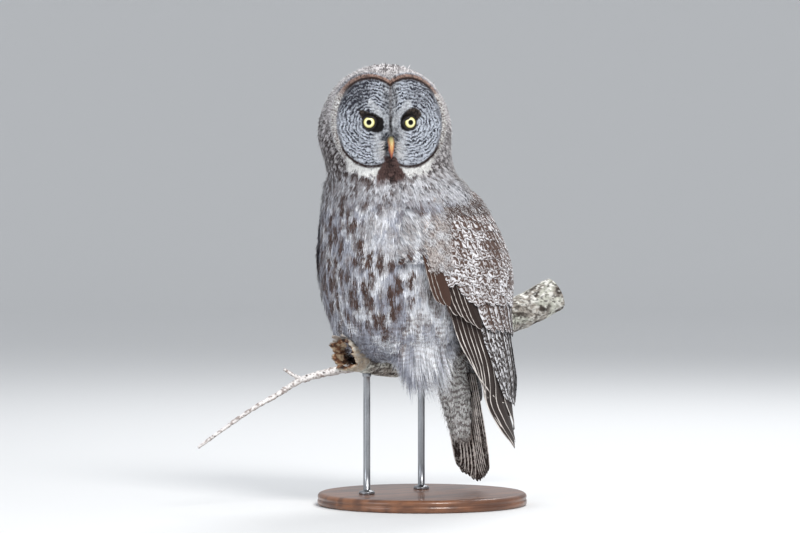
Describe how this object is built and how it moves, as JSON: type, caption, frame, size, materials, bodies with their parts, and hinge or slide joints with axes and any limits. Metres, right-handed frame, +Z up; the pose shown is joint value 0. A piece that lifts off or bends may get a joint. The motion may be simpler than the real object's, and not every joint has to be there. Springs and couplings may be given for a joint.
{
  "type": "great grey owl model on a perch",
  "caption": "Life-size great grey owl sitting upright with folded wings and turned head, on a cut branch held by a plain round base and rods.",
  "frame": {"origin": "middle of the round base's underside", "axes": "+Z up; the owl's torso faces -Y and its left side is +X; the head is turned 55 degrees towards the owl's left"},
  "size_m": [0.3, 0.582, 0.6277],
  "materials": {
    "face_feathers": "soft matt feathers, grey with fine dark rings",
    "body_feathers": "soft matt feathers, pale grey with brown streaks",
    "wing_feathers": "matt feathers, brown with pale mottling and bars",
    "tail_feathers": "matt feathers, grey and brown bars",
    "leg_feathers": "downy matt feathers, pale grey",
    "eye": "wet gloss, yellow with a black pupil",
    "bill": "satin horn, yellow",
    "claw": "satin horn, near black",
    "bark": "rough grey bark with lichen",
    "twig_bark": "pale weathered bark",
    "base_wood": "satin varnish",
    "rod_metal": "satin"
  },
  "bodies": {
    "root": {"bill_lower": "bill", "bill_upper": "bill", "claw_left_1": "claw", "claw_left_2": "claw", "claw_left_3": "claw", "claw_left_4": "claw", "claw_right_1": "claw", "claw_right_2": "claw", "claw_right_3": "claw", "claw_right_4": "claw", "eye_left": "eye", "eye_right": "eye", "foot_left": "leg_feathers", "foot_right": "leg_feathers", "head": "face_feathers", "leg_left": "leg_feathers", "leg_right": "leg_feathers", "neck": "body_feathers", "perch": "bark", "perch_twig": "twig_bark", "stand_base": "base_wood", "stand_rod_front": "rod_metal", "stand_rod_rear": "rod_metal", "tail": "tail_feathers", "torso": "body_feathers", "wing_left": "wing_feathers", "wing_right": "wing_feathers"}
  },
  "joints": []
}
